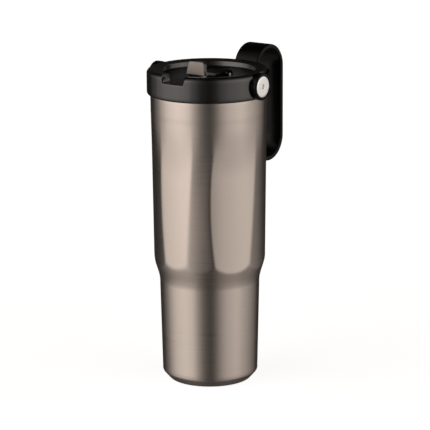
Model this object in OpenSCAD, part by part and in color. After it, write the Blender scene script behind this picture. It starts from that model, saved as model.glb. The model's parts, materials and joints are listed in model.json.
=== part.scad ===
// Insulated travel mug: a double-wall steel cup with a screw lid, a flip-up
// sip closure and a swinging loop handle.
// Z is up, the origin is the centre of the base, the sip notch is at -Y, the
// handle hangs at +Y and its pivot axis runs along X.

/* [Steel cup] */
// Height of the lip that the lid seals on
lip_z = 231; // [229:0.5:232]
// Outer radius at the lip
lip_r = 45.4; // [45:0.05:45.4]
// Outer radius just above the shoulder
waist_r = 44; // [43:0.1:44.5]
// Height where the shoulder starts to narrow
waist_z = 102; // [95:1:110]
// Outer radius just below the shoulder
stem_r = 39.25; // [38.5:0.05:40]
// Height where the shoulder ends
stem_z = 79; // [70:1:85]
// Outer radius at the foot, above its bevel
foot_r = 37.65; // [37:0.05:38.5]
// Radius where the foot bevel meets the bottom
bevel_r = 32.3; // [31.5:0.1:33]
// Height of the foot bevel
bevel_h = 7.1; // [6.5:0.1:8]
// Thickness of the steel
steel_t = 0.6; // [0.5:0.1:0.9]
// Distance from the outer face to the liner's inner face
wall_t = 5; // [4.8:0.1:5.2]
// Inner radius of the threaded mouth
mouth_r = 40.2; // [40.1:0.1:40.3]

/* [Lid] */
// Height of the crest of the lid's rim
crest_z = 248.9; // [248:0.1:249]
// Radius of the crest of the rim
crest_r = 44.5; // [44:0.1:44.6]
// Outer radius of the collar
collar_r = 48.1; // [48.1:0.1:49]
// Height of the collar's bottom edge
collar_z = 229.1; // [226:0.1:229.2]
// Radius of the recess inside the rim
recess_r = 36.2; // [36:0.1:36.4]
// Height of the deck's top face
deck_z = 239.8; // [239.4:0.1:240]
// Width of the sip notch
notch_w = 21.8; // [18:0.1:24]
// Depth of the sip notch below the crest
notch_d = 5.9; // [4:0.1:6.5]
// Bottom of the lid's plug
plug_z = 213.5; // [212.5:0.5:214.5]
// Travel of the lid for one turn
thread_lead = 12; // [12:12]
// Number of thread starts
thread_starts = 3; // [3:3]

/* [Closure] */
// Distance of the closure's hinge behind the centre
hinge_y = 12; // [11:0.5:13]
// Height of the closure's hinge
hinge_z = 243; // [242.9:0.1:243.2]
// Distance of the sip hole in front of the centre
sip_y = 12; // [10:0.5:12.5]
// Width of the closure arm
arm_w = 17; // [15:0.5:17.4]
// Height of the top of the thumb tab
tab_z = 255.8; // [252:0.1:257]
// Backward lean of the thumb tab in degrees
tab_lean = 8; // [4:1:10]

/* [Handle] */
// Height of the handle's pivot axis
pivot_z = 239.1; // [239:0.1:239.3]
// Radius of the round eyes
eye_r = 10.5; // [10:0.1:10.6]
// Outer face of the eyes, from the centre
eye_x = 51.6; // [51.4:0.1:52]
// Width of the loop
loop_w = 22; // [18:0.5:22]
// Outer depth of the loop
loop_d = 38.5; // [34:0.5:40]
// Height of the loop's top
loop_top = 258.9; // [256:0.1:260]
// Height of the loop's bottom
loop_bottom = 164.5; // [160:0.1:175]
// Thickness of the loop's strap
strap_t = 3.9; // [3.5:0.1:4.5]

/* [Hidden] */
$fn = 96;
eps = 0.01;

steel_color = "#8d837a";
liner_color = "#b9b7b3";
black_color = "#26262a";
grip_color = "#17171a";
taupe_color = "#80776f";
silicone_color = "#4a4a4d";
brass_color = "#b08d4a";
polished_color = "#d9dade";

// The cup's lip is a rolled edge, and shell and liner are welded at its middle.
lip_round = 2.2;
seam_r = lip_r - lip_round;
lip_arc_z = lip_z - lip_round;
liner_round = 8;
liner_floor = 9.4;
// Foot of the shell: the pad stands proud of the steel rim by rim_lift.
rim_lift = 0.3;
rim_r = 28;
plate_z = 1.5;
pad_t = 1.4;
port_r = 1.6;
getter_r = 6;
getter_h = 1.5;

// Lid stack, from the lip upwards.
fit_gap = 0.05;
part_gap = 0.3;
gasket_t = 1.55;
gasket_z = lip_z + fit_gap;
flange_z = gasket_z + gasket_t + fit_gap;
flange_t = 1.75;
collar_under = flange_z + flange_t + fit_gap;
skirt_in = lip_r + 0.75;
flange_r = skirt_in - 0.3;
plug_r = 38.8;
plug_t = 2.2;
dish_t = 2.2;
cover_t = 1.5;
rim_drop = 0.8;
rim_edge_r = 36.9;
rim_bevel = 3.4;
rim_round_h = 2.6;
skirt_round = 1.8;

// The rear of the lid stays inside a ball about the pivot, so the yoke can pass.
yoke_r = 46;
ball_r = yoke_r - part_gap;
pocket_r = eye_r + 0.7;
pocket_x = 45.2;
washer_x = 46;
washer_r = 8;
pin_r = 4;
insert_r = 2.6;
insert_len = 7;
screw_r = 2;
head_r = 8.1;
head_t = 1.3;
head_x = eye_x - head_t - 0.1;
drive_r = 0.9;

// Thread ridges: short arcs tilted by the lead angle, near enough a helix.
ridge_r = 39.5;
ridge_tilt = atan(thread_lead / (2 * PI * ridge_r));
ridge_root = 0.85;
ridge_crest = 0.45;
liner_ridge_z = lip_z - 6.5;
lid_ridge_z = liner_ridge_z - thread_lead / thread_starts / 2;
ridge_span = 66;

// Closure.
knuckle_r = 3;
hinge_pin_r = 1.5;
ear_r = 3.5;
ear_t = 3;
ear_x = arm_w / 2 + part_gap + 0.2;
seat_half = ear_r - 0.5;
bracket_t = 1.2;
sip_r = 5;
tube_t = 1.6;
vent_y = 25;
vent_r = 1.2;
arm_front = 20;
arm_low = deck_z + 1.5;
arm_t = 2;
block_front = -2;
block_top = hinge_z + 2.6;
tab_base = arm_low + arm_t - 0.2;
tab_front = 18.2;
tab_t = 4.6;
facing_t = 1.4;
tab_top_w = 14;
tab_corner = 1.8;

// Handle.
yoke_out = collar_r;
yoke_low = pivot_z - 10.5;
yoke_high = pivot_z + 7;
neck_high = pivot_z + 3.5;
neck_y = 11;
shoulder_y = 16;
loop_y = 48.9;
bridge_y = 46.6;

// Points of an elliptical arc from angle a0 to a1.
function arc(cx, cz, rx, rz, a0, a1, n = 10) =
  [for (i = [0 : n]) let (a = a0 + (a1 - a0) * i / n) [cx + rx * cos(a), cz + rz * sin(a)]];

// Points of a quadratic curve.
function curve(p, q, r, n = 8) =
  [for (i = [0 : n]) let (t = i / n) (1 - t) * (1 - t) * p + 2 * t * (1 - t) * q + t * t * r];

// Shoulder between the stem and the waist, moved inwards by d.
function shoulder(d, n = 12) =
  [for (i = [0 : n]) let (t = i / n)
    [stem_r - d + (waist_r - stem_r) * (1 - cos(180 * t)) / 2, stem_z + (waist_z - stem_z) * t]];

// Rounded top of the foot's bevel, moved inwards by d and upwards by u.
function foot(d, u) =
  curve([foot_r - 1.3 - d, bevel_h - 2.2 + u], [foot_r - 0.2 - d, bevel_h - 1 + u], [foot_r - d, bevel_h + u]);

module outer_shell() {
  t = steel_t;
  outside = concat([[rim_r, rim_lift], [bevel_r, rim_lift]], foot(0, 0), shoulder(0),
    arc(seam_r, lip_arc_z, lip_round, lip_round, 0, 90));
  inside = concat(arc(seam_r, lip_arc_z, lip_round - t, lip_round - t, 90, 0), reverse(shoulder(t)),
    reverse(foot(t, 0.4)), [[bevel_r - 0.3, t + rim_lift], [rim_r + t, t + rim_lift],
    [rim_r + t, plate_z + t], [rim_r, plate_z + t]]);
  color(steel_color)
    rotate_extrude()
      polygon(concat(outside, inside));
}

function reverse(list) = [for (i = [len(list) - 1 : -1 : 0]) list[i]];

// One start of a thread, a trapezoid ridge from root radius to crest radius.
module ridge(root, crest, z) {
  translate([0, 0, z])
    rotate([ridge_tilt, 0, 0])
      rotate([0, 0, -ridge_span / 2])
        rotate_extrude(angle = ridge_span)
          polygon([[root, -ridge_root], [crest, -ridge_crest], [crest, ridge_crest], [root, ridge_root]]);
}

module ridges(root, crest, z) {
  for (k = [0 : thread_starts - 1])
    rotate([0, 0, k * 360 / thread_starts])
      ridge(root, crest, z);
}

module inner_liner() {
  t = steel_t;
  d = wall_t;
  neck_z = lid_ridge_z - 8;
  roll = lip_round;
  mid_r = mouth_r + roll;
  inside = concat([[0, liner_floor]],
    arc(foot_r - d - liner_round, liner_floor + liner_round, liner_round, liner_round, -90, 0),
    shoulder(d), [[mouth_r, neck_z]], arc(mid_r, lip_arc_z, roll, roll, 180, 90), [[seam_r, lip_z]]);
  outside = concat([[seam_r, lip_z - t]], arc(mid_r, lip_arc_z, roll - t, roll - t, 90, 180),
    [[mouth_r + t, neck_z]], reverse(shoulder(d - t)),
    arc(foot_r - d - liner_round, liner_floor + liner_round, liner_round + t, liner_round + t, 0, -90),
    [[0, liner_floor - t]]);
  color(liner_color)
    union() {
      rotate_extrude()
        polygon(concat(inside, outside));
      ridges(mouth_r + t / 2, mouth_r - 0.9, liner_ridge_z);
    }
}

module base_plate() {
  color(steel_color)
    translate([0, 0, plate_z])
      difference() {
        cylinder(r = rim_r, h = steel_t);
        translate([0, 0, -eps])
          cylinder(r = port_r, h = steel_t + 2 * eps);
      }
}

module foot_pad() {
  color(silicone_color)
    rotate_extrude()
      polygon([[0, 0], [rim_r - 1.2, 0], [rim_r - 0.5, 0.5], [rim_r - 0.5, pad_t], [0, pad_t]]);
}

module vacuum_bead() {
  color(polished_color)
    translate([0, 0, plate_z])
      cylinder(r = port_r - fit_gap, h = steel_t + 0.4);
}

module getter() {
  color(polished_color)
    translate([0, 0, plate_z + steel_t + 0.1])
      difference() {
        cylinder(r = getter_r, h = getter_h);
        translate([0, 0, -eps])
          cylinder(r = getter_r / 2, h = getter_h + 2 * eps);
      }
}

module lid_gasket() {
  color(silicone_color)
    rotate_extrude()
      polygon([[41, gasket_z + 0.4], [41.4, gasket_z], [44.2, gasket_z], [44.6, gasket_z + 0.4],
        [44.6, gasket_z + gasket_t], [41, gasket_z + gasket_t]]);
}

// Top of the rim from its inner edge down into the recess.
function rim_inside() =
  [[rim_edge_r, crest_z - rim_drop], [recess_r, crest_z - rim_drop - rim_bevel], [recess_r, collar_under]];

module collar_front() {
  wall_top = crest_z - rim_round_h;
  rotate([0, 0, 180])
    rotate_extrude(angle = 180)
      polygon(concat([[skirt_in, collar_under], [skirt_in, collar_z]],
        arc(collar_r - skirt_round, collar_z + skirt_round, skirt_round, skirt_round, -90, 0, 6),
        arc(crest_r, wall_top, collar_r - crest_r, rim_round_h, 0, 90), rim_inside()));
}

module collar_rear() {
  low = asin((collar_under - pivot_z) / ball_r);
  high = asin((crest_z - 0.3 - pivot_z) / ball_r);
  rotate_extrude(angle = 180)
    polygon(concat(arc(0, pivot_z, ball_r, ball_r, low, high), [[crest_r - 1, crest_z]], rim_inside()));
}

// Both sides of the lid, mirrored.
module both_sides() {
  for (side = [0, 1])
    mirror([side, 0, 0])
      children();
}

// A cylinder along +X on the pivot axis, from x0 to x1.
module pivot_rod(r, x0, x1) {
  translate([x0, 0, pivot_z])
    rotate([0, 90, 0])
      cylinder(r = r, h = x1 - x0);
}

module sip_notch() {
  half = notch_w / 2;
  low = crest_z - notch_d;
  translate([0, -recess_r + 4, 0])
    rotate([90, 0, 0])
      linear_extrude(height = collar_r)
        polygon([[-half - 0.6, crest_z + 1], [-half + 1, low + 1], [-half + 2, low],
          [half - 2, low], [half - 1, low + 1], [half + 0.6, crest_z + 1]]);
}

module lid_collar() {
  color(black_color)
    difference() {
      union() {
        collar_front();
        collar_rear();
      }
      both_sides() {
        pivot_rod(pocket_r, pocket_x, collar_r + 5);
        pivot_rod(insert_r, pocket_x - insert_len, pocket_x + 1);
      }
      sip_notch();
    }
}

// The seat for the hinge bracket's foot in the deck, grown by gap.
module bracket_foot(gap) {
  half = ear_x + ear_t + gap;
  translate([-half, hinge_y - seat_half - gap, deck_z - bracket_t - gap])
    cube([2 * half, 2 * (seat_half + gap), bracket_t + gap]);
}

module lid_deck() {
  inner = recess_r - fit_gap;
  wall = inner - plug_t;
  color(black_color)
    difference() {
      union() {
        rotate_extrude()
          polygon([[0, deck_z - dish_t], [wall, deck_z - dish_t], [wall, flange_z],
            [plug_r - plug_t, flange_z - 2], [plug_r - plug_t, plug_z + cover_t],
            [plug_r, plug_z + cover_t], [plug_r, flange_z], [flange_r, flange_z],
            [flange_r, flange_z + flange_t], [inner, flange_z + flange_t], [inner, deck_z], [0, deck_z]]);
        ridges(plug_r - 0.5, ridge_r + 0.3, lid_ridge_z);
        translate([0, vent_y, plug_z])
          cylinder(r = vent_r + tube_t, h = deck_z - dish_t - plug_z + eps);
      }
      translate([0, -sip_y, deck_z - dish_t - 1])
        cylinder(r = sip_r + tube_t + fit_gap, h = dish_t + 2);
      translate([0, vent_y, plug_z - 1])
        cylinder(r = vent_r, h = deck_z - plug_z + 2);
      both_sides()
        pivot_rod(pocket_r, pocket_x, flange_r + 1);
      bracket_foot(fit_gap);
    }
}

module sip_tube() {
  color(black_color)
    translate([0, -sip_y, plug_z])
      difference() {
        cylinder(r = sip_r + tube_t, h = deck_z - plug_z);
        translate([0, 0, -1])
          cylinder(r = sip_r, h = deck_z - plug_z + 2);
      }
}

module plug_cover() {
  seat = plug_r - plug_t - fit_gap;
  color(black_color)
    difference() {
      rotate_extrude()
        polygon([[0, plug_z], [plug_r - 1.5, plug_z], [plug_r - 0.2, plug_z + cover_t - fit_gap],
          [seat, plug_z + cover_t - fit_gap], [seat, plug_z + 5], [seat - 1.6, plug_z + 5],
          [seat - 1.6, plug_z + cover_t - fit_gap], [0, plug_z + cover_t - fit_gap]]);
      translate([0, -sip_y, plug_z - 1])
        cylinder(r = sip_r + tube_t + fit_gap, h = cover_t + 2);
      translate([0, vent_y, plug_z - 1])
        cylinder(r = vent_r + tube_t + fit_gap, h = cover_t + 2);
    }
}

module pivot_insert() {
  color(brass_color)
    difference() {
      pivot_rod(insert_r - eps, pocket_x - insert_len + 0.1, pocket_x - 0.1);
      pivot_rod(screw_r, pocket_x - insert_len - 1, pocket_x + 1);
    }
}

module pivot_insert_right() {
  pivot_insert();
}

module pivot_insert_left() {
  mirror([1, 0, 0])
    pivot_insert();
}

// Shoulder screw: threaded end, running shoulder, flat polished head.
module pivot_screw() {
  color(polished_color)
    difference() {
      union() {
        pivot_rod(screw_r - eps, pocket_x - insert_len + 1, pocket_x + 0.5);
        pivot_rod(pin_r, pocket_x, head_x + 0.5);
        pivot_rod(head_r, head_x, head_x + head_t);
      }
      pivot_rod(drive_r, head_x + 0.4, eye_x + 1);
    }
}

module pivot_screw_right() {
  pivot_screw();
}

module pivot_screw_left() {
  mirror([1, 0, 0])
    pivot_screw();
}

module thrust_washer() {
  color(silicone_color)
    difference() {
      pivot_rod(washer_r, pocket_x, washer_x - fit_gap);
      pivot_rod(pin_r + fit_gap, pocket_x - 1, washer_x + 1);
    }
}

module thrust_washer_right() {
  thrust_washer();
}

module thrust_washer_left() {
  mirror([1, 0, 0])
    thrust_washer();
}

module hinge_bracket() {
  color(black_color)
    difference() {
      union() {
        bracket_foot(0);
        both_sides() {
          translate([ear_x, hinge_y, hinge_z])
            rotate([0, 90, 0])
              cylinder(r = ear_r, h = ear_t);
          translate([ear_x, hinge_y - seat_half, deck_z - eps])
            cube([ear_t, 2 * seat_half, hinge_z - deck_z]);
        }
      }
      translate([-ear_x - ear_t - 1, hinge_y, hinge_z])
        rotate([0, 90, 0])
          cylinder(r = hinge_pin_r + eps, h = 2 * (ear_x + ear_t + 1));
    }
}

module cap_hinge_pin() {
  half = ear_x + ear_t - 0.2;
  color(polished_color)
    translate([-half, hinge_y, hinge_z])
      rotate([0, 90, 0])
        cylinder(r = hinge_pin_r, h = 2 * half);
}

module vent_valve() {
  color(silicone_color)
    translate([0, vent_y, 0])
      union() {
        translate([0, 0, deck_z + fit_gap])
          cylinder(r1 = 3.4, r2 = 2.6, h = 1.1);
        translate([0, 0, deck_z - 4])
          cylinder(r = vent_r - fit_gap, h = 4.5);
      }
}

// Front outline of the thumb tab: wide at its foot, rounded at its top corners.
module tab_outline(side, top) {
  base_half = arm_w / 2 - side;
  top_half = tab_top_w / 2 - side;
  linear_extrude(height = tab_t)
    polygon(concat([[-base_half, 0], [base_half, 0]],
      arc(top_half - tab_corner, top - tab_corner, tab_corner, tab_corner, 10, 90, 6),
      arc(-top_half + tab_corner, top - tab_corner, tab_corner, tab_corner, 90, 170, 6)));
}

// The tab's own frame: x across, y up along the tab, z out of its front face.
module on_tab(back) {
  translate([0, -tab_front, tab_base])
    rotate([90 - tab_lean, 0, 0])
      translate([0, 0, -back])
        children();
}

module tab_slab(front, thick, side, top) {
  intersection() {
    on_tab(tab_t)
      tab_outline(side, top);
    on_tab(front + thick)
      translate([-arm_w, -1, 0])
        cube([2 * arm_w, 20, thick]);
  }
}

module cap_arm() {
  tab_h = (tab_z - tab_base) / cos(tab_lean);
  color(black_color)
    difference() {
      union() {
        translate([-arm_w / 2, hinge_y, hinge_z])
          rotate([0, 90, 0])
            cylinder(r = knuckle_r, h = arm_w);
        translate([-arm_w / 2, block_front, hinge_z - 1])
          cube([arm_w, hinge_y - block_front, block_top - hinge_z + 1]);
        translate([-arm_w / 2, -arm_front, arm_low])
          cube([arm_w, arm_front + 5, arm_t]);
        tab_slab(facing_t, tab_t - facing_t, 0, tab_h - 0.3);
      }
      translate([-arm_w, hinge_y, hinge_z])
        rotate([0, 90, 0])
          cylinder(r = hinge_pin_r + fit_gap, h = 2 * arm_w);
      translate([0, -sip_y, arm_low - 1])
        cylinder(r = 2, h = arm_t);
    }
}

module tab_facing() {
  tab_h = (tab_z - tab_base) / cos(tab_lean);
  color(taupe_color)
    intersection() {
      tab_slab(0, facing_t - eps, 0, tab_h);
      translate([-arm_w, -arm_front - 5, arm_low + arm_t + fit_gap])
        cube([2 * arm_w, 20, 30]);
    }
}

module sip_plug() {
  top = arm_low - fit_gap;
  color(silicone_color)
    translate([0, -sip_y, 0])
      union() {
        translate([0, 0, deck_z - 2.8])
          cylinder(r1 = 4, r2 = 4.4, h = 3);
        translate([0, 0, deck_z + 0.1])
          cylinder(r = sip_r + 1.4, h = top - deck_z - 0.1);
        translate([0, 0, top - 0.2])
          cylinder(r = 2 - fit_gap, h = 1);
      }
}

// Side outline of the yoke, from the neck at the eye to its full height.
module yoke_side() {
  translate([-yoke_out - 1, 0, 0])
    rotate([90, 0, 90])
      linear_extrude(height = 2 * yoke_out + 2)
        polygon([[0, yoke_low], [yoke_out + 1, yoke_low], [yoke_out + 1, yoke_high],
          [shoulder_y, yoke_high], [neck_y, neck_high], [0, neck_high]]);
}

// Outline of a loop with round ends, inset by d.
function loop_outline(d) =
  let (r = loop_d / 2 - d, y = loop_y + loop_d / 2)
    concat(arc(y, loop_top - loop_d / 2, r, r, 0, 180, 28),
      arc(y, loop_bottom + loop_d / 2, r, r, 180, 360, 28));

module loop_solid(d, w) {
  translate([-w / 2, 0, 0])
    rotate([90, 0, 90])
      linear_extrude(height = w)
        polygon(loop_outline(d));
}

module handle_frame() {
  color(grip_color)
    difference() {
      union() {
        intersection() {
          translate([0, 0, yoke_low - 1])
            rotate_extrude(angle = 180)
              translate([yoke_r, 0])
                square([yoke_out - yoke_r, yoke_high - yoke_low + 2]);
          yoke_side();
        }
        both_sides()
          pivot_rod(eye_r, washer_x, eye_x);
        translate([-loop_w / 2, bridge_y, yoke_low])
          cube([loop_w, loop_y + 1 - bridge_y, yoke_high - yoke_low]);
        difference() {
          loop_solid(0, loop_w);
          loop_solid(strap_t, loop_w + 2);
        }
      }
      both_sides() {
        pivot_rod(pocket_r + 0.1, 30, washer_x + fit_gap);
        pivot_rod(pin_r + 0.06, 30, eye_x + 1);
        pivot_rod(head_r + 0.25, head_x - 0.05, eye_x + 1);
      }
    }
}

outer_shell();
inner_liner();
base_plate();
foot_pad();
vacuum_bead();
getter();
lid_gasket();
lid_collar();
lid_deck();
sip_tube();
plug_cover();
pivot_insert_left();
pivot_insert_right();
pivot_screw_left();
pivot_screw_right();
thrust_washer_left();
thrust_washer_right();
hinge_bracket();
cap_hinge_pin();
vent_valve();
cap_arm();
tab_facing();
sip_plug();
handle_frame();
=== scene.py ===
import json
from math import asin, cos, pi, radians, sin, sqrt

import bmesh
import bpy
from mathutils import Matrix, Vector


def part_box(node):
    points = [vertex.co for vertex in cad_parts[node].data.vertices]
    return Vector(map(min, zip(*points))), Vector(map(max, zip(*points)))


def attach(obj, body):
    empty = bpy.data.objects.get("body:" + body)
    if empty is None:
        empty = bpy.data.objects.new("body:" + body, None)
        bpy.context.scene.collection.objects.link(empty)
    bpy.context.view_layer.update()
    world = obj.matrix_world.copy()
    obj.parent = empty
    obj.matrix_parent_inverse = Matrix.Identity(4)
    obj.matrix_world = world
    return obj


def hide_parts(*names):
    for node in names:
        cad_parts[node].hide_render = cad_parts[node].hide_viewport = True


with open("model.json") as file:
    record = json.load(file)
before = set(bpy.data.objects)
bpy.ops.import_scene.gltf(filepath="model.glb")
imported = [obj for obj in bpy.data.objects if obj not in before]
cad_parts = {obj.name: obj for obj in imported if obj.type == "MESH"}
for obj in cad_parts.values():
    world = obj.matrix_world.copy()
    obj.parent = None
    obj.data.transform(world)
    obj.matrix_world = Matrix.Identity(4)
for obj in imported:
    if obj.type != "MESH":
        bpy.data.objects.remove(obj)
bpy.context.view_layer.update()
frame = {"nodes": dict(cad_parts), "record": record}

MM = 0.001
FRONT = radians(-90)


def box_mm(node):
    """Lowest and highest corner of a CAD node, in millimetres."""
    low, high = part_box(node)
    return low / MM, high / MM


# ---------------------------------------------------------------- camera

# Azimuth is measured from the front (-Y) towards the right; distance and height are in metres.
CAMERA_AZIMUTH = radians(36)
CAMERA_DISTANCE = 1.744
CAMERA_HEIGHT = 0.5555
CAMERA_PITCH = radians(13.666)
CAMERA_YAW = radians(-0.145)
CAMERA_ROLL = radians(-0.3)
CAMERA_LENS = 191


def make_camera():
    data = bpy.data.cameras.new("product_camera")
    data.lens = CAMERA_LENS
    data.clip_end = 50
    camera = bpy.data.objects.new("product_camera", data)
    bpy.context.collection.objects.link(camera)
    place = Vector((sin(CAMERA_AZIMUTH), -cos(CAMERA_AZIMUTH), 0)) * CAMERA_DISTANCE
    place.z = CAMERA_HEIGHT
    turn = Matrix.Rotation(CAMERA_AZIMUTH + CAMERA_YAW, 4, "Z")
    tilt = Matrix.Rotation(radians(90) - CAMERA_PITCH, 4, "X")
    roll = Matrix.Rotation(CAMERA_ROLL, 4, "Z")
    camera.matrix_world = Matrix.Translation(place) @ turn @ tilt @ roll
    bpy.context.scene.camera = camera


# ---------------------------------------------------------------- light and floor

# Brightness round the mug: degrees from the camera towards the picture's right, then strength.
STUDIO_ROUND = ((-180, 0.02), (-140, 0.02), (-120, 0.25), (-104, 0.8), (-86, 1.35), (-62, 1.6), (-42, 1.42),
                (-27, 0.6), (-14, 0.17), (2, 0.04), (12, 0.16), (26, 0.64), (42, 1.0), (68, 1.2), (88, 0.85),
                (106, 0.6), (124, 0.3), (142, 0.02), (180, 0.02))
# Brightness by height: degrees above the horizon, then strength.
STUDIO_RISE = ((-90, 0.1), (-50, 0.33), (-30, 0.5), (-16, 0.85), (-4, 1.45), (14, 1.6), (35, 1.15), (55, 0.4),
               (75, 0.12), (90, 0.1))
# Light that the pale floor sends back up, by height.
FLOOR_BOUNCE = ((-90, 0.07), (-40, 0.05), (-22, 0.03), (-12, 0.0), (90, 0.0))
STUDIO_PEAK = 2.0
STUDIO_TINT = (1.0, 0.94, 0.885, 1)
FLOOR_R = 6
FLOOR_DROP = 0.3
FLOOR_GREY = (0.35, 0.35, 0.35, 1)
FLOOR_GLOW = 0.86


def ramp_of(nodes, stops, low, high, peak):
    """A colour ramp through (position, strength) stops."""
    node = nodes.new("ShaderNodeValToRGB")
    ramp = node.color_ramp
    ramp.interpolation = "EASE"
    while len(ramp.elements) < len(stops):
        ramp.elements.new(0.5)
    for element, (where, strength) in zip(ramp.elements, stops):
        element.position = (where - low) / (high - low)
        value = strength / peak
        element.color = (value, value, value, 1)
    return node


def math_node(nodes, links, operation, a, b=None):
    node = nodes.new("ShaderNodeMath")
    node.operation = operation
    for socket, value in zip(node.inputs, (a, b)):
        if isinstance(value, (int, float)):
            socket.default_value = value
        elif value is not None:
            links.new(value, socket)
    return node.outputs[0]


def make_world():
    """A soft studio: two tall soft lights, dark flags between them, a white backdrop."""
    world = bpy.data.worlds.new("studio")
    bpy.context.scene.world = world
    world.use_nodes = True
    nodes, links = world.node_tree.nodes, world.node_tree.links
    nodes.clear()
    where = nodes.new("ShaderNodeTexCoord")
    turn = nodes.new("ShaderNodeVectorRotate")
    turn.rotation_type = "Z_AXIS"
    turn.inputs["Angle"].default_value = radians(90) - CAMERA_AZIMUTH
    split = nodes.new("ShaderNodeSeparateXYZ")
    links.new(where.outputs["Generated"], turn.inputs["Vector"])
    links.new(turn.outputs["Vector"], split.inputs["Vector"])
    angle = math_node(nodes, links, "ARCTAN2", split.outputs["Y"], split.outputs["X"])
    share = math_node(nodes, links, "MULTIPLY_ADD", angle, 1 / (2 * pi))
    share.node.inputs[2].default_value = 0.5
    rise = math_node(nodes, links, "ARCSINE", split.outputs["Z"])
    lift = math_node(nodes, links, "MULTIPLY_ADD", rise, 1 / pi)
    lift.node.inputs[2].default_value = 0.5
    round_ramp = ramp_of(nodes, STUDIO_ROUND, -180, 180, STUDIO_PEAK)
    rise_ramp = ramp_of(nodes, STUDIO_RISE, -90, 90, STUDIO_PEAK)
    links.new(share, round_ramp.inputs["Fac"])
    links.new(lift, rise_ramp.inputs["Fac"])
    bounce_ramp = ramp_of(nodes, FLOOR_BOUNCE, -90, 90, STUDIO_PEAK * STUDIO_PEAK)
    links.new(lift, bounce_ramp.inputs["Fac"])
    studio = math_node(nodes, links, "MULTIPLY", round_ramp.outputs["Color"], rise_ramp.outputs["Color"])
    strength = math_node(nodes, links, "ADD", studio, bounce_ramp.outputs["Color"])
    soft = nodes.new("ShaderNodeBackground")
    soft.inputs["Color"].default_value = STUDIO_TINT
    scaled_strength = math_node(nodes, links, "MULTIPLY", strength, STUDIO_PEAK * STUDIO_PEAK)
    links.new(scaled_strength, soft.inputs["Strength"])
    white = nodes.new("ShaderNodeBackground")
    path = nodes.new("ShaderNodeLightPath")
    mix = nodes.new("ShaderNodeMixShader")
    out = nodes.new("ShaderNodeOutputWorld")
    links.new(path.outputs["Is Camera Ray"], mix.inputs[0])
    links.new(soft.outputs[0], mix.inputs[1])
    links.new(white.outputs[0], mix.inputs[2])
    links.new(mix.outputs[0], out.inputs["Surface"])


def make_floor():
    bpy.ops.mesh.primitive_circle_add(vertices=96, radius=FLOOR_R, fill_type="NGON")
    floor = bpy.context.object
    floor.name = "floor"
    made = bpy.data.materials.new("pale_floor")
    made.use_nodes = True
    shader = made.node_tree.nodes["Principled BSDF"]
    shader.inputs["Base Color"].default_value = FLOOR_GREY
    shader.inputs["Roughness"].default_value = 0.9
    shader.inputs["Specular IOR Level"].default_value = 0.0
    shader.inputs["Emission Color"].default_value = (1, 1, 1, 1)
    shader.inputs["Emission Strength"].default_value = FLOOR_GLOW
    floor.data.materials.append(made)
    floor.location.z = -FLOOR_DROP * MM
    floor.visible_glossy = False
    floor.visible_shadow = False


# ---------------------------------------------------------------- mesh helpers

def arc(cx, cz, rx, rz, start, end, count):
    """Points of an elliptical arc, angles in degrees."""
    angles = [radians(start + (end - start) * i / count) for i in range(count + 1)]
    return [(cx + rx * cos(a), cz + rz * sin(a)) for a in angles]


def curve(p, q, r, count):
    """Points of a quadratic curve from p to r that leaves towards q."""
    steps = [i / count for i in range(count + 1)]
    return [tuple((1 - t) ** 2 * a + 2 * t * (1 - t) * b + t * t * c for a, b, c in zip(p, q, r))
            for t in steps]


def line(p, q, count):
    """Points from p to q, both ends included."""
    return [tuple(a + (b - a) * i / count for a, b in zip(p, q)) for i in range(count + 1)]


def smooth_step(low, high, x):
    """0 up to low, 1 from high on, and an S-curve between."""
    t = min(1, max(0, (x - low) / (high - low)))
    return t * t * (3 - 2 * t)


def soft_min(a, b, blend):
    """The smaller of two values, rounded where they cross."""
    h = max(blend - abs(a - b), 0) / blend
    return min(a, b) - h * h * blend / 4


def add_mesh(name, verts, faces, sharp=35):
    """A clean mesh object from points in millimetres."""
    data = bpy.data.meshes.new(name)
    data.from_pydata([Vector(v) * MM for v in verts], [], faces)
    piece = bpy.data.objects.new(name, data)
    bpy.context.collection.objects.link(piece)
    tidy_mesh(piece, sharp)
    return piece


def tidy_mesh(piece, sharp=35):
    """Joins doubled points, drops slivers and turns every face outwards."""
    work = bmesh.new()
    work.from_mesh(piece.data)
    bmesh.ops.remove_doubles(work, verts=work.verts, dist=1e-6)
    bmesh.ops.dissolve_degenerate(work, edges=work.edges, dist=1e-7)
    bmesh.ops.recalc_face_normals(work, faces=work.faces)
    work.to_mesh(piece.data)
    work.free()
    shade(piece, sharp)


def shade(piece, sharp):
    piece.data.polygons.foreach_set("use_smooth", [True] * len(piece.data.polygons))
    piece.data.set_sharp_from_angle(angle=radians(sharp))


def skin(rings, close_rings=True, close_points=True):
    """Vertices and faces of a grid of rings."""
    count, size = len(rings), len(rings[0])
    verts = [p for ring in rings for p in ring]
    faces = []
    for i in range(count if close_rings else count - 1):
        for j in range(size if close_points else size - 1):
            a, b = i * size + j, i * size + (j + 1) % size
            c, d = (i + 1) % count * size + (j + 1) % size, (i + 1) % count * size + j
            faces.append((a, b, c, d))
    if not close_rings and close_points:
        faces.append(tuple(range(size)))
        faces.append(tuple((count - 1) * size + j for j in reversed(range(size))))
    return verts, faces


def lathe(name, outline, segments=192, sharp=35):
    """A closed outline of (radius, height) points turned about the Z axis."""
    turns = [2 * pi * i / segments for i in range(segments)]
    return add_mesh(name, *skin([[(r * cos(t), r * sin(t), z) for r, z in outline] for t in turns]), sharp)


def swing(piece, matrix):
    """Moves the mesh itself, so that the object stays at the origin."""
    piece.data.transform(matrix)
    tidy_mesh(piece)


def apply_modifiers(piece):
    graph = bpy.context.evaluated_depsgraph_get()
    data = bpy.data.meshes.new_from_object(piece.evaluated_get(graph))
    piece.modifiers.clear()
    piece.data = data


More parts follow.
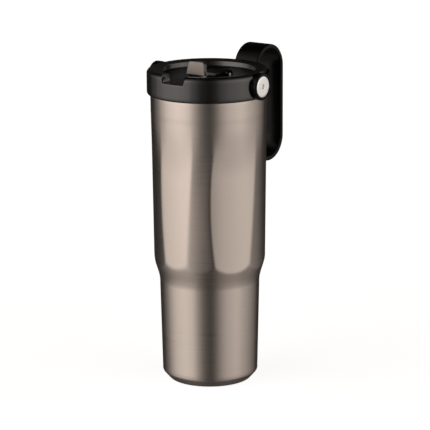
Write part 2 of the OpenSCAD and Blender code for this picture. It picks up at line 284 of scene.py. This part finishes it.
def boolean(piece, tool, kind):
    """Cuts the tool from the piece, or joins it, and removes the tool."""
    change = piece.modifiers.new(kind.lower(), "BOOLEAN")
    change.operation = kind
    change.object = tool
    change.solver = "EXACT"
    apply_modifiers(piece)
    bpy.data.objects.remove(tool)
    tidy_mesh(piece)


def bevel(piece, width, segments=3, angle=40):
    """Rounds the edges that are sharper than an angle; the width is in millimetres."""
    change = piece.modifiers.new("round_edges", "BEVEL")
    change.width = width * MM
    change.segments = segments
    change.limit_method = "ANGLE"
    change.angle_limit = radians(angle)
    change.harden_normals = False
    apply_modifiers(piece)
    shade(piece, angle)


def block(name, low, high):
    """A box from corner to corner, in millimetres."""
    corners = [(x, y, z) for x in (low[0], high[0]) for y in (low[1], high[1]) for z in (low[2], high[2])]
    faces = [(0, 1, 3, 2), (4, 6, 7, 5), (0, 4, 5, 1), (2, 3, 7, 6), (0, 2, 6, 4), (1, 5, 7, 3)]
    return add_mesh(name, corners, faces)


def rod(name, radius, low, high, y, z, segments=96):
    """A cylinder along X, in millimetres."""
    piece = lathe(name, [(0, low), (radius, low), (radius, high), (0, high)], segments)
    swing(piece, Matrix.Translation(Vector((0, y, z)) * MM) @ Matrix.Rotation(radians(90), 4, "Y"))
    return piece


def settle(piece, body, nodes, material):
    """Gives a piece its material, the body it rides on, and the nodes it stands for."""
    piece.data.materials.clear()
    piece.data.materials.append(material)
    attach(piece, body)
    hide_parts(*nodes)


# ---------------------------------------------------------------- materials

# Most of a noise's values lie between these two.
NOISE_LOW, NOISE_HIGH = 0.3, 0.7
BRUSH_BUMP, GRAIN_BUMP, TURNED_BUMP = 0.00003, 0.00004, 0.00002


def shader_of(material):
    return material.node_tree.nodes["Principled BSDF"]


def new_material(name, color, roughness, metallic=0.0):
    material = bpy.data.materials.new(name)
    material.use_nodes = True
    shader = shader_of(material)
    shader.inputs["Base Color"].default_value = (*color, 1)
    shader.inputs["Roughness"].default_value = roughness
    shader.inputs["Metallic"].default_value = metallic
    return material


def noise(material, stretch, detail=3.0, rough=0.6):
    """A noise in object space, with a count of features per metre along each axis."""
    nodes, links = material.node_tree.nodes, material.node_tree.links
    where = nodes.new("ShaderNodeTexCoord")
    mapping = nodes.new("ShaderNodeMapping")
    mapping.inputs["Scale"].default_value = stretch
    texture = nodes.new("ShaderNodeTexNoise")
    texture.inputs["Scale"].default_value = 1.0
    texture.inputs["Detail"].default_value = detail
    texture.inputs["Roughness"].default_value = rough
    links.new(where.outputs["Object"], mapping.inputs["Vector"])
    links.new(mapping.outputs["Vector"], texture.inputs["Vector"])
    return texture.outputs["Fac"]


def spread(material, value, low, high):
    """Maps a noise's middle range to low..high."""
    nodes, links = material.node_tree.nodes, material.node_tree.links
    ramp = nodes.new("ShaderNodeMapRange")
    ramp.inputs["From Min"].default_value = NOISE_LOW
    ramp.inputs["From Max"].default_value = NOISE_HIGH
    ramp.inputs["To Min"].default_value = low
    ramp.inputs["To Max"].default_value = high
    links.new(value, ramp.inputs["Value"])
    return ramp.outputs["Result"]


def mix_values(material, a, b, share):
    nodes, links = material.node_tree.nodes, material.node_tree.links
    mix = nodes.new("ShaderNodeMix")
    mix.inputs["Factor"].default_value = share
    links.new(a, mix.inputs["A"])
    links.new(b, mix.inputs["B"])
    return mix.outputs["Result"]


def tint(material, value, dark, light):
    """Colour that wanders between two colours."""
    nodes, links = material.node_tree.nodes, material.node_tree.links
    ramp = nodes.new("ShaderNodeValToRGB")
    ramp.color_ramp.elements[0].position = NOISE_LOW
    ramp.color_ramp.elements[0].color = (*dark, 1)
    ramp.color_ramp.elements[1].position = NOISE_HIGH
    ramp.color_ramp.elements[1].color = (*light, 1)
    links.new(value, ramp.inputs["Fac"])
    links.new(ramp.outputs["Color"], shader_of(material).inputs["Base Color"])


def bump(material, value, strength, distance):
    nodes, links = material.node_tree.nodes, material.node_tree.links
    node = nodes.new("ShaderNodeBump")
    node.inputs["Strength"].default_value = strength
    node.inputs["Distance"].default_value = distance
    links.new(value, node.inputs["Height"])
    links.new(node.outputs["Normal"], shader_of(material).inputs["Normal"])


def scaled(color, factor):
    return tuple(c * factor for c in color)


def brushed_steel(name, color, roughness, anisotropy, depth=1.0):
    """Steel with fine brush lines round the Z axis."""
    material = new_material(name, color, roughness, 1.0)
    shader = shader_of(material)
    shader.inputs["Anisotropic"].default_value = anisotropy
    shader.inputs["Anisotropic Rotation"].default_value = 0.25
    nodes, links = material.node_tree.nodes, material.node_tree.links
    tangent = nodes.new("ShaderNodeTangent")
    tangent.direction_type = "RADIAL"
    tangent.axis = "Z"
    links.new(tangent.outputs["Tangent"], shader.inputs["Tangent"])
    fine = noise(material, (45, 45, 5200), 4.0, 0.7)
    coarse = noise(material, (14, 14, 950), 3.0, 0.65)
    cloud = noise(material, (9, 9, 14), 2.0, 0.5)
    lines = mix_values(material, fine, coarse, 0.4)
    wander = mix_values(material, lines, cloud, 0.35)
    tint(material, wander, scaled(color, 0.955), scaled(color, 1.045))
    links.new(spread(material, lines, roughness - 0.05, roughness + 0.06), shader.inputs["Roughness"])
    bump(material, lines, 0.25 * depth, BRUSH_BUMP)
    return material


def moulded_plastic(name, color, roughness, shine, grain=0.12, texture=5200):
    """Moulded plastic with a fine spark-eroded grain and soft flow marks."""
    material = new_material(name, color, roughness)
    shader_of(material).inputs["Specular IOR Level"].default_value = shine
    links = material.node_tree.links
    fine = noise(material, (texture, texture, texture), 2.0, 0.5)
    cloud = noise(material, (60, 60, 35), 3.0, 0.5)
    tint(material, mix_values(material, fine, cloud, 0.5), scaled(color, 0.8), scaled(color, 1.25))
    links.new(spread(material, mix_values(material, fine, cloud, 0.6), roughness - 0.05, roughness + 0.06),
              shader_of(material).inputs["Roughness"])
    bump(material, fine, grain, GRAIN_BUMP)
    return material


def polished_metal(name, color, roughness, turned=0.05):
    """Polished metal with faint turning marks and wipe marks."""
    material = new_material(name, color, roughness, 1.0)
    links = material.node_tree.links
    fine = noise(material, (2400, 300, 2400), 3.0, 0.6)
    cloud = noise(material, (140, 140, 140), 3.0, 0.6)
    marks = mix_values(material, fine, cloud, 0.5)
    tint(material, marks, scaled(color, 0.93), color)
    links.new(spread(material, marks, roughness * 0.7, roughness * 1.4),
              shader_of(material).inputs["Roughness"])
    bump(material, marks, turned, TURNED_BUMP)
    return material


STEEL = brushed_steel("brushed_shell_steel", (0.427, 0.376, 0.343), 0.3, 0.55)
LINER_STEEL = brushed_steel("liner_steel", (0.62, 0.61, 0.6), 0.32, 0.4, 0.6)
LID_BLACK = moulded_plastic("lid_satin_black", (0.0013, 0.0011, 0.001), 0.18, 0.75, 0.06)
DECK_BLACK = moulded_plastic("deck_satin_black", (0.001, 0.001, 0.001), 0.22, 0.12, 0.06)
HANDLE_BLACK = moulded_plastic("handle_gloss_black", (0.0008, 0.0008, 0.0008), 0.17, 0.1, 0.05, 3600)
TAUPE = moulded_plastic("tab_satin_taupe", (0.23, 0.195, 0.172), 0.38, 0.5, 0.1)
SILICONE = moulded_plastic("silicone_grey", (0.05, 0.05, 0.053), 0.62, 0.5, 0.2, 3000)
BRASS = polished_metal("insert_brass", (0.66, 0.5, 0.24), 0.3, 0.2)
POLISHED = polished_metal("polished_steel", (0.95, 0.945, 0.94), 0.5)

SLOT_MATERIALS = {
    "brushed_shell": STEEL, "liner_steel": LINER_STEEL, "lid_plastic": DECK_BLACK,
    "handle_plastic": HANDLE_BLACK, "tab_taupe": TAUPE, "silicone": SILICONE,
    "insert_brass": BRASS, "polished_steel": POLISHED,
}


def dress_cad_nodes():
    """Gives every CAD node the material of its slot."""
    slots = {row["node"]: row["material_slot"] for row in frame["record"]["subparts"]}
    for node, piece in frame["nodes"].items():
        for place in piece.material_slots:
            place.material = SLOT_MATERIALS[slots[node]]


# ---------------------------------------------------------------- steel shell

SHELL_HIGH = box_mm("outer_shell")[1]
LIP_R = SHELL_HIGH.x
LIP_Z = SHELL_HIGH.z
LIP_ROUND = 2.2
WAIST_R, WAIST_Z = 44, 102
STEM_R, STEM_Z = 39.25, 79
FOOT_R, BEVEL_H = 37.65, 7.1
RIM_R, BEVEL_R = 28, 32.3
STEEL_T = 0.6
FACET_MID, FACET_SPAN = 142, 45
FACET_FADE_LOW, FACET_HIGH = 170, 214
FACET_FLATNESS = 0.5
CREASE_ROUND = 1.1
FACET_BLEND = 0.35
SHELL_TURNS = 480
BASE_Z = 0.3
HEM_Z = 2.1
RIB_RINGS = (24.5, 21.5, 18.5, 15.5)
RIB_DEPTH = 0.45
# Creases between the soft facets of one half: degrees from the front at FACET_MID, then how
# many degrees they tilt and bow over one FACET_SPAN. The other half repeats them.
CREASES = ((-20, -2, 3), (15, 4, 0), (36.5, -1, 4), (86, 4, -1), (122, 0, 0))


def cone_radius(z):
    """Radius of the upper body's plain cone, carried on below the shoulder."""
    return WAIST_R + (LIP_R - WAIST_R) * (z - WAIST_Z) / (LIP_Z - WAIST_Z)


def facet_radius(turn, z):
    """Distance from the axis to the soft facet at an angle in degrees from the front."""
    up = min(1, max(-1.1, (z - FACET_MID) / FACET_SPAN))
    lines = [a + tilt * up + bow * up * up + half for half in (-180, 0, 180) for a, tilt, bow in CREASES]
    turn = (turn + 180) % 360 - 180
    left = max(a for a in lines if a <= turn)
    right = min(a for a in lines if a > turn)
    half = radians(right - left) / 2
    off = radians(turn - (left + right) / 2)
    edge = cone_radius(z)
    flat = edge * sin(half) / sin(FACET_FLATNESS * half)
    centre = edge * cos(half) - flat * cos(FACET_FLATNESS * half)
    return centre * cos(off) + sqrt(flat ** 2 - (centre * sin(off)) ** 2)


def body_radius(radius, turn, z):
    """Radius of the steel with its soft facets; their creases are a little rounded."""
    if z <= STEM_Z or z >= FACET_HIGH:
        return radius
    turn = (turn - FRONT) * 180 / pi
    spots = ((-CREASE_ROUND, 0.25), (0, 0.5), (CREASE_ROUND, 0.25))
    facet = sum(w * facet_radius(turn + d, z) for d, w in spots)
    share = 1 - smooth_step(FACET_FADE_LOW, FACET_HIGH, z)
    cone = cone_radius(z)
    return soft_min(radius, cone + (facet - cone) * share, FACET_BLEND)


def shell_outline(inset):
    """Outer face of the shell from foot to lip, moved inwards."""
    turn_in = (FOOT_R - 1.3, BEVEL_H - 2.2)
    foot = (line((BEVEL_R, BASE_Z), turn_in, 6)[1:-1]
            + curve(turn_in, (FOOT_R - 0.2, BEVEL_H - 1), (FOOT_R, BEVEL_H), 8))
    stem = line((FOOT_R, BEVEL_H), (STEM_R, STEM_Z), 24)[1:-1]
    steps = [i / 32 for i in range(33)]
    shoulder = [(STEM_R + (WAIST_R - STEM_R) * (1 - cos(pi * t)) / 2, STEM_Z + (WAIST_Z - STEM_Z) * t)
                for t in steps]
    waist = line((WAIST_R, WAIST_Z), (LIP_R, LIP_Z - LIP_ROUND), 64)[1:]
    return [(r - inset, z) for r, z in foot + stem + shoulder + waist]


def make_shell():
    """The steel's skin: outer face, rolled lip and inner face, turned with its facets."""
    seam = LIP_R - LIP_ROUND
    lip_z = LIP_Z - LIP_ROUND
    thin = LIP_ROUND - STEEL_T
    base = [(RIM_R, BASE_Z), (RIM_R + 0.5, BASE_Z), (BEVEL_R - 0.35, BASE_Z), (BEVEL_R - 0.1, 0.36)]
    outside = (base + shell_outline(0)
               + arc(seam, lip_z, LIP_ROUND, LIP_ROUND, 0, 90, 8)[1:])
    inside = (arc(seam, lip_z, thin, thin, 90, 0, 8)[:-1] + shell_outline(STEEL_T)[::-1]
              + [(BEVEL_R - 0.6, BASE_Z + STEEL_T), (RIM_R + STEEL_T, BASE_Z + STEEL_T),
                 (RIM_R + STEEL_T, HEM_Z), (RIM_R, HEM_Z)])
    turns = [2 * pi * i / SHELL_TURNS for i in range(SHELL_TURNS)]
    rings = []
    for t in turns:
        ring = [(body_radius(r, t, z), z) for r, z in outside]
        ring += [(body_radius(r + STEEL_T, t, z) - STEEL_T, z) for r, z in inside]
        rings.append([(r * cos(t), r * sin(t), z) for r, z in ring])
    shell = add_mesh("shell_skin", *skin(rings), 50)
    settle(shell, "mug", ["outer_shell"], STEEL)


def make_foot_pad():
    """Soft pad with shallow grip rings and a flat centre."""
    high = box_mm("foot_pad")[1]
    edge = high.x
    under = [(edge, RIB_DEPTH), (edge - 0.2, 0.12), (edge - 0.6, 0)]
    for ring in RIB_RINGS:
        under += [(ring + 0.6, 0), (ring + 0.35, RIB_DEPTH), (ring - 0.35, RIB_DEPTH), (ring - 0.6, 0)]
    pad = lathe("foot_pad_ribbed", [(0, high.z), (edge, high.z)] + under + [(0, 0)], 128, 30)
    settle(pad, "mug", ["foot_pad"], SILICONE)


# ---------------------------------------------------------------- lid collar

COLLAR_LOW, COLLAR_HIGH = box_mm("lid_collar")
COLLAR_R = -COLLAR_LOW.y
CREST_Z = COLLAR_HIGH.z
COLLAR_Z = COLLAR_LOW.z
CREST_R = 44.5
RECESS_R = 36.2
SKIRT_IN = 46.15
DECK_TOP = 239.8
COLLAR_UNDER = 234.45
NOTCH_Z = CREST_Z - 5.9
NOTCH_HALF = 10.9
NOTCH_FROM, NOTCH_TO = 10.5, 19
FINE_STEP, COARSE_STEP = 0.15, 1.5
PIVOT_Z = sum(box_mm("pivot_screw_right")[i].z for i in (0, 1)) / 2
BALL_R = 45.7
POCKET_R = 11.2
POCKET_X = 45.2
INSERT_ROOM_R = 2.6
SKIRT_ROUND, SKIRT_RISE = 1.7, 2.4
CREST_ROUND, FLOOR_ROUND = 3.4, 0.9
CREST_DIP, LEDGE_R, LEDGE_ROUND = 0.75, 37.6, 0.75
CUT_IN, CUT_OUT = 44, 60
CUT_LOW, CUT_HIGH = 220, 262


def collar_sections():
    """The rim's cross-section, once with its crest and once at the notch's floor."""
    lower = ([(SKIRT_IN, COLLAR_UNDER), (SKIRT_IN, COLLAR_Z + 0.25), (SKIRT_IN + 0.2, COLLAR_Z)]
             + arc(COLLAR_R - SKIRT_ROUND, COLLAR_Z + SKIRT_RISE, SKIRT_ROUND, SKIRT_RISE, -90, 0, 8))
    wall_top = CREST_Z - CREST_ROUND
    wall = line((COLLAR_R, COLLAR_Z + SKIRT_RISE), (COLLAR_R, wall_top), 8)[1:-1]
    low_top = NOTCH_Z - FLOOR_ROUND
    low_wall = line((COLLAR_R, COLLAR_Z + SKIRT_RISE), (COLLAR_R, low_top), 8)[1:-1]
    crest = (arc(CREST_R, wall_top, COLLAR_R - CREST_R, CREST_ROUND, 0, 90, 14)
             + line((CREST_R, CREST_Z), (LEDGE_R + 0.1, CREST_Z - CREST_DIP), 10)[1:]
             + arc(LEDGE_R, CREST_Z - CREST_DIP - LEDGE_ROUND, LEDGE_ROUND, LEDGE_ROUND, 85, 165, 5))
    floor = (arc(COLLAR_R - FLOOR_ROUND, low_top, FLOOR_ROUND, FLOOR_ROUND, 0, 90, 14)
             + line((COLLAR_R - FLOOR_ROUND, NOTCH_Z), (RECESS_R + 1, NOTCH_Z - 0.1), 10)[1:]
             + arc(RECESS_R + FLOOR_ROUND, low_top - 0.1, FLOOR_ROUND, FLOOR_ROUND, 85, 165, 5))
    inner = line((RECESS_R + 0.55, CREST_Z - 2.4), (RECESS_R, CREST_Z - 4.4), 4)
    inner += line((RECESS_R, CREST_Z - 4.4), (RECESS_R, COLLAR_UNDER), 6)[1:]
    low_inner = line((RECESS_R + 0.05, NOTCH_Z - 1.3), (RECESS_R, NOTCH_Z - 1.8), 4)
    low_inner += line((RECESS_R, NOTCH_Z - 1.8), (RECESS_R, COLLAR_UNDER), 6)[1:]
    return lower + wall + crest + inner, lower + low_wall + floor + low_inner


def collar_turns():
    """Angles round the rim, close together at the notch's side walls."""
    turns = []
    angle = -180.0
    while angle < 180:
        turns.append(angle)
        angle += FINE_STEP if NOTCH_FROM < abs(angle) < NOTCH_TO else COARSE_STEP
    return [FRONT + radians(t) for t in turns]


def collar_ring():
    """The rim, blended from its crest to the notch's floor across the front."""
    crest, notch = collar_sections()
    rings = []
    for turn in collar_turns():
        ring = []
        for (r0, z0), (r1, z1) in zip(crest, notch):
            across = abs(r0 * sin(turn - FRONT))
            ahead = cos(turn - FRONT) > 0
            share = 1 - smooth_step(NOTCH_HALF - 1.3, NOTCH_HALF + 0.5, across) if ahead else 0
            r, z = r0 + (r1 - r0) * share, z0 + (z1 - z0) * share
            ring.append((r * cos(turn), r * sin(turn), z))
        rings.append(ring)
    return add_mesh("lid_collar_rim", *skin(rings))


def rear_cutter():
    """What the rear half of the collar leaves free, so the yoke can swing over it."""
    low = asin((COLLAR_UNDER - PIVOT_Z) / BALL_R)
    high = asin((CREST_Z + 0.2 - PIVOT_Z) / BALL_R)
    count = 24
    steps = [high + (low - high) * i / count for i in range(count + 1)]
    ball = [(BALL_R * cos(a), PIVOT_Z + BALL_R * sin(a)) for a in steps]
    outline = [(CUT_IN, CUT_LOW), (CUT_OUT, CUT_LOW), (CUT_OUT, CUT_HIGH), (ball[0][0], CUT_HIGH)]
    outline += ball + [(CUT_IN, COLLAR_UNDER)]
    turns = [pi * i / 120 for i in range(121)]
    rings = [[(r * cos(t), r * sin(t), z) for r, z in outline] for t in turns]
    return add_mesh("rear_cutter", *skin(rings, close_rings=False))


def make_collar():
    """The rim with its rear cut away and its two pivot pockets."""
    collar = collar_ring()
    boolean(collar, rear_cutter(), "DIFFERENCE")
    for side in (-1, 1):
        ends = sorted((side * POCKET_X, side * CUT_OUT))
        boolean(collar, rod("pocket_cutter", POCKET_R, *ends, 0, PIVOT_Z, 160), "DIFFERENCE")
        ends = sorted((side * (POCKET_X - 7), side * CUT_OUT))
        boolean(collar, rod("insert_cutter", INSERT_ROOM_R, *ends, 0, PIVOT_Z, 48), "DIFFERENCE")
    settle(collar, "lid", ["lid_collar"], LID_BLACK)


# ---------------------------------------------------------------- closure

ARM_LOW, ARM_HIGH = box_mm("cap_arm")
TAB_HIGH = box_mm("tab_facing")[1]
PIN_LOW, PIN_HIGH = box_mm("cap_hinge_pin")
HINGE_Y = (PIN_LOW.y + PIN_HIGH.y) / 2
HINGE_Z = (PIN_LOW.z + PIN_HIGH.z) / 2
TAB_FOOT_Y = -18.2
TAB_LEAN = radians(8)
TAB_T = 4.6
TAB_SINK = 0.2
FACING_T = 1.4
TAB_TOP_W, TAB_CORNER = 14, 1.9
ARM_T, ARM_BACK_Y = 2, 5
ARM_UNDER = DECK_TOP + 1.5
ARM_LOW_TOP = ARM_UNDER + ARM_T
BLOCK_TOP = HINGE_Z + 2.6
BLOCK_TOE_Y, BLOCK_FRONT_Y = -3.8, -2.4
KNUCKLE_R, PIN_ROOM_R = 3, 1.55
FACING_FOOT, GROOVE_D = 2.9, 1.7


def tab_frame(back):
    """Places a tab piece: its own Z points out of the tab's front, its Y up along it."""
    foot = Vector((0, TAB_FOOT_Y, ARM_LOW_TOP - TAB_SINK)) * MM
    lean = Matrix.Rotation(radians(90) - TAB_LEAN, 4, "X")
    return Matrix.Translation(foot) @ lean @ Matrix.Translation((0, 0, -back * MM))


def tab_plate(name, base, top, thick):
    """A plate in the tab's outline: wide at its foot, with round top corners."""
    x, y = TAB_TOP_W / 2 - TAB_CORNER, top - TAB_CORNER
    outline = [(-ARM_HIGH.x, base), (ARM_HIGH.x, base)]
    outline += arc(x, y, TAB_CORNER, TAB_CORNER, 8, 90, 8) + arc(-x, y, TAB_CORNER, TAB_CORNER, 90, 172, 8)
    rings = [[(x, y, z) for x, y in outline] for z in (0, thick)]
    return add_mesh(name, *skin(rings, close_rings=False), 60)


def make_cap():
    """The closure: arm, raised block, knuckle and tab in one, and the tab's taupe facing."""
    tab_h = (TAB_HIGH.z - ARM_LOW_TOP + TAB_SINK) / cos(TAB_LEAN)
    half = ARM_HIGH.x
    arm = block("closure_arm", (-half, ARM_LOW.y, ARM_UNDER), (half, ARM_BACK_Y, ARM_LOW_TOP))
    profile = [(BLOCK_TOE_Y, ARM_LOW_TOP - 1), (HINGE_Y, ARM_LOW_TOP - 1), (HINGE_Y, BLOCK_TOP),
               (BLOCK_FRONT_Y, BLOCK_TOP), (BLOCK_TOE_Y, ARM_LOW_TOP + 0.2)]
    raised = [[(x, y, z) for y, z in profile] for x in (-half, half)]
    boolean(arm, add_mesh("raised", *skin(raised, close_rings=False)), "UNION")
    boolean(arm, rod("knuckle", KNUCKLE_R, -half, half, HINGE_Y, HINGE_Z, 48), "UNION")
    tab = tab_plate("tab_back", 0, tab_h - 0.3, TAB_T - FACING_T)
    swing(tab, tab_frame(TAB_T))
    boolean(arm, tab, "UNION")
    groove = block("groove", (-half - 2, 0.6, -GROOVE_D), (half + 2, FACING_FOOT - 0.2, 1))
    swing(groove, tab_frame(FACING_T))
    boolean(arm, groove, "DIFFERENCE")
    boolean(arm, rod("pin_bore", PIN_ROOM_R, -half - 2, half + 2, HINGE_Y, HINGE_Z, 48), "DIFFERENCE")
    bevel(arm, 0.45, 3, 30)
    settle(arm, "cap", ["cap_arm"], LID_BLACK)
    facing = tab_plate("tab_face_plate", FACING_FOOT, tab_h, FACING_T - 0.05)
    swing(facing, tab_frame(FACING_T - 0.02))
    bevel(facing, 0.4, 4, 50)
    settle(facing, "cap", ["tab_facing"], TAUPE)


# ---------------------------------------------------------------- handle

HANDLE_LOW, HANDLE_HIGH = box_mm("handle_frame")
EYE_X = HANDLE_HIGH.x
EYE_R = 10.5
WASHER_X = 46
YOKE_IN, YOKE_OUT = 46, COLLAR_R
YOKE_LOW = PIVOT_Z - EYE_R
YOKE_HIGH, NECK_HIGH = PIVOT_Z + 7, PIVOT_Z + 3.5
LOOP_FRONT, LOOP_BACK = 48.9, HANDLE_HIGH.y
LOOP_TOP, LOOP_BOTTOM = HANDLE_HIGH.z, HANDLE_LOW.z
LOOP_W = 22
STRAP_T = 3.9
SHANK_ROOM_R = 4.06
SEAT_X = 50.15
HEAD_R, HEAD_GAP = 8.1, 0.25
SOCKET_R = 2.1
ROOT_RISE, ROOT_FLARE = 8, 6
ROOT_HALF = LOOP_W / 2 + 3.5
STRAP_CORNER, YOKE_CORNER = 1.35, 0.9
YOKE_TURNS = 150
NECK_Y, SHOULDER_Y = 11, 17
EYE_ROUND = 1.1
CUT_FROM = 30
SADDLE_R = 47
# The bridge's sections, from the yoke out to the strap: distance back and half-width.
BRIDGE = ((46.5, 16.5), (47.4, 16), (48.2, 15.4), (48.9, 14.8), (49.6, 14.2), (50.4, 13))


def round_rect(width, height, corner, count=5):
    """Corner-rounded rectangle about the origin."""
    x, y = width / 2 - corner, height / 2 - corner
    return (arc(x, y, corner, corner, 0, 90, count) + arc(-x, y, corner, corner, 90, 180, count)
            + arc(-x, -y, corner, corner, 180, 270, count) + arc(x, -y, corner, corner, 270, 360, count))


def loop_path():
    """Middle line of the strap as (y, z, outward direction)."""
    radius = (LOOP_BACK - LOOP_FRONT) / 2
    mid = (LOOP_BACK + LOOP_FRONT) / 2
    r = radius - STRAP_T / 2
    high, low = LOOP_TOP - radius, LOOP_BOTTOM + radius
    path = []
    for centre, start in ((high, 0), (low, 180)):
        for i in range(49):
            a = radians(start + 180 * i / 48)
            path.append((mid + r * cos(a), centre + r * sin(a), (cos(a), sin(a))))
        foot = path[-1]
        goal = low if start == 0 else high
        for i in range(1, 14):
            path.append((foot[0], centre + (goal - centre) * i / 14, foot[2]))
    return path


def make_loop():
    """The closed strap."""
    section = round_rect(STRAP_T, LOOP_W, STRAP_CORNER)
    rings = [[(x, y + out * dy, z + out * dz) for out, x in section] for y, z, (dy, dz) in loop_path()]
    return add_mesh("handle_loop", *skin(rings))


def make_yoke():
    """Half ring round the back of the lid, lower where it meets the eyes."""
    rings = []
    for i in range(YOKE_TURNS + 1):
        turn = pi * i / YOKE_TURNS
        y = YOKE_OUT * sin(turn)
        top = NECK_HIGH + (YOKE_HIGH - NECK_HIGH) * smooth_step(NECK_Y, SHOULDER_Y, y)
        section = round_rect(YOKE_OUT - YOKE_IN, top - YOKE_LOW, YOKE_CORNER)
        mid_r, mid_z = (YOKE_IN + YOKE_OUT) / 2, (top + YOKE_LOW) / 2
        rings.append([((mid_r + r) * cos(turn), (mid_r + r) * sin(turn), mid_z + z) for r, z in section])
    return add_mesh("handle_yoke", *skin(rings, close_rings=False))


def make_eye(side):
    """Round boss with a counterbore for the screw's head."""
    rim = EYE_X
    outline = [(SHANK_ROOM_R, WASHER_X + 0.05), (EYE_R - 0.4, WASHER_X + 0.05), (EYE_R, WASHER_X + 0.45),
               (EYE_R, rim - 1.3)]
    outline += arc(EYE_R - EYE_ROUND, rim - EYE_ROUND, EYE_ROUND, EYE_ROUND, 0, 90, 7)
    outline += [(HEAD_R + 0.6, rim), (HEAD_R + 0.35, rim - 0.25), (HEAD_R + HEAD_GAP, rim - 0.6),
                (HEAD_R + HEAD_GAP, SEAT_X), (SHANK_ROOM_R, SEAT_X)]
    eye = lathe("handle_eye", outline, 128)
    swing(eye, Matrix.Translation((0, 0, PIVOT_Z * MM)) @ Matrix.Rotation(side * radians(90), 4, "Y"))
    return eye


def make_bridge():
    """Flared root that joins the loop's front strand to the yoke."""
    mid_z = (YOKE_HIGH + YOKE_LOW) / 2
    rings = []
    for y, half in BRIDGE:
        section = round_rect(2 * half, YOKE_HIGH - YOKE_LOW, YOKE_CORNER)
        out = y - BRIDGE[0][0]
        rings.append([(x, min(y, sqrt(SADDLE_R ** 2 - x * x) + out), mid_z + z) for x, z in section])
    return add_mesh("handle_bridge", *skin(rings, close_rings=False))


def make_root():
    """The strand's sides, swept out in fillets above and below the bridge."""
    middle = LOOP_FRONT + STRAP_T / 2
    low, high = YOKE_LOW - ROOT_RISE, YOKE_HIGH + ROOT_RISE
    rings = []
    for i in range(41):
        z = low + (high - low) * i / 40
        past = max(YOKE_LOW + 1 - z, z - YOKE_HIGH + 1, 0) / (ROOT_RISE + 1)
        flare = ROOT_FLARE * (1 - sqrt(1 - (1 - past) ** 2))
        half = min(LOOP_W / 2 - 0.04 + flare, ROOT_HALF)
        section = round_rect(2 * half, STRAP_T - 0.08, STRAP_CORNER - 0.05)
        rings.append([(x, middle + y, z) for x, y in section])
    return add_mesh("handle_root", *skin(rings, close_rings=False))


def make_handle():
    """The yoke, its two eyes, the bridge and the loop, joined into one piece."""
    handle = make_yoke()
    for side in (-1, 1):
        ends = sorted((side * CUT_FROM, side * (WASHER_X + 0.05)))
        boolean(handle, rod("washer_room", POCKET_R + 0.1, *ends, 0, PIVOT_Z, 128), "DIFFERENCE")
        ends = sorted((side * CUT_FROM, side * (EYE_X + 1)))
        boolean(handle, rod("head_room", HEAD_R + 0.3, *ends, 0, PIVOT_Z, 128), "DIFFERENCE")
        boolean(handle, make_eye(side), "UNION")
    boolean(handle, make_bridge(), "UNION")
    boolean(handle, make_root(), "UNION")
    boolean(handle, make_loop(), "UNION")
    handle.name = "handle_body"
    settle(handle, "handle", ["handle_frame"], HANDLE_BLACK)


SHANK_R, THREAD_R = 4, 1.98
SCREW_END = 39.3


def make_screw(side, node):
    """Shoulder screw with a softly domed polished head and a small round socket."""
    face = EYE_X - 0.1
    under = SEAT_X + 0.05
    shank = [(0, SCREW_END), (THREAD_R - 0.28, SCREW_END), (THREAD_R, SCREW_END + 0.4),
             (THREAD_R, POCKET_X), (SHANK_R, POCKET_X), (SHANK_R, under)]
    head = [(HEAD_R - 0.2, under), (HEAD_R, under + 0.2), (HEAD_R, face - 0.45), (HEAD_R - 0.12, face - 0.2),
            (HEAD_R - 0.4, face - 0.06), (6, face - 0.02), (3, face)]
    socket = [(SOCKET_R, face), (SOCKET_R - 0.25, face - 0.2), (SOCKET_R - 0.6, face - 1.9), (0, face - 2.3)]
    screw = lathe(node + "_polished", shank + head + socket, 96, 30)
    swing(screw, Matrix.Translation((0, 0, PIVOT_Z * MM)) @ Matrix.Rotation(side * radians(90), 4, "Y"))
    settle(screw, "lid", [node], POLISHED)


# ---------------------------------------------------------------- the whole object

bpy.context.scene.view_settings.view_transform = "Standard"
make_camera()
make_world()
make_floor()
dress_cad_nodes()
make_shell()
make_foot_pad()
make_collar()
make_cap()
make_handle()
make_screw(1, "pivot_screw_right")
make_screw(-1, "pivot_screw_left")
